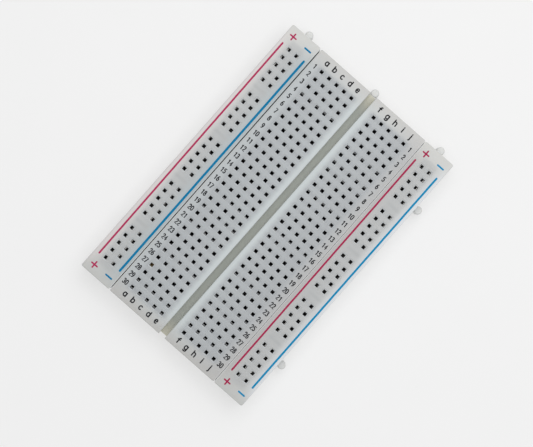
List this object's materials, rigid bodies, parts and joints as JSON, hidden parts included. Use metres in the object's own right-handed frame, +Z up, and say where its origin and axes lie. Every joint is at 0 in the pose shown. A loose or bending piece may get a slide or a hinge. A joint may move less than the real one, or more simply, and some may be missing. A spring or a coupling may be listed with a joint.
{
  "type": "solderless breadboard",
  "caption": "White rectangular prototyping board with a grid of sprung contact holes, a central channel and two detachable power rails.",
  "frame": {"origin": "centre of the underside of the terminal strip's release liner", "axes": "+X across the board from column a to column j, +Y along its length towards row 1, +Z up out of the hole face"},
  "size_m": [0.0571, 0.0846, 0.0096],
  "materials": {
    "moulding": "satin white ABS, very slightly translucent",
    "contact_metal": "nickel-plated phosphor bronze, satin",
    "foam": "closed-cell foam tape, matt",
    "release_liner": "siliconised paper, smooth matt",
    "red_ink": "pad-printed ink, satin",
    "blue_ink": "pad-printed ink, satin",
    "black_ink": "pad-printed ink, satin"
  },
  "bodies": {
    "left_rail": {"left_power_rail": "moulding", "left_positive_bus": "contact_metal", "left_negative_bus": "contact_metal", "left_rail_foam_pad": "foam", "left_rail_release_liner": "release_liner"},
    "terminal": {"terminal_strip": "moulding", "contact_row_01": "contact_metal", "contact_row_02": "contact_metal", "contact_row_03": "contact_metal", "contact_row_04": "contact_metal", "contact_row_05": "contact_metal", "contact_row_06": "contact_metal", "contact_row_07": "contact_metal", "contact_row_08": "contact_metal", "contact_row_09": "contact_metal", "contact_row_10": "contact_metal", "contact_row_11": "contact_metal", "contact_row_12": "contact_metal", "contact_row_13": "contact_metal", "contact_row_14": "contact_metal", "contact_row_15": "contact_metal", "contact_row_16": "contact_metal", "contact_row_17": "contact_metal", "contact_row_18": "contact_metal", "contact_row_19": "contact_metal", "contact_row_20": "contact_metal", "contact_row_21": "contact_metal", "contact_row_22": "contact_metal", "contact_row_23": "contact_metal", "contact_row_24": "contact_metal", "contact_row_25": "contact_metal", "contact_row_26": "contact_metal", "contact_row_27": "contact_metal", "contact_row_28": "contact_metal", "contact_row_29": "contact_metal", "contact_row_30": "contact_metal", "terminal_foam_pad": "foam", "terminal_release_liner": "release_liner"},
    "right_rail": {"right_power_rail": "moulding", "right_positive_bus": "contact_metal", "right_negative_bus": "contact_metal", "right_rail_foam_pad": "foam", "right_rail_release_liner": "release_liner"}
  },
  "joints": [
    {"name": "terminal_lift", "type": "slide", "parent": "left_rail", "child": "terminal", "axis": [0, 0, 1], "range_m": [0, 0.012]},
    {"name": "right_rail_lift", "type": "slide", "parent": "terminal", "child": "right_rail", "axis": [0, 0, 1], "range_m": [0, 0.012]}
  ]
}
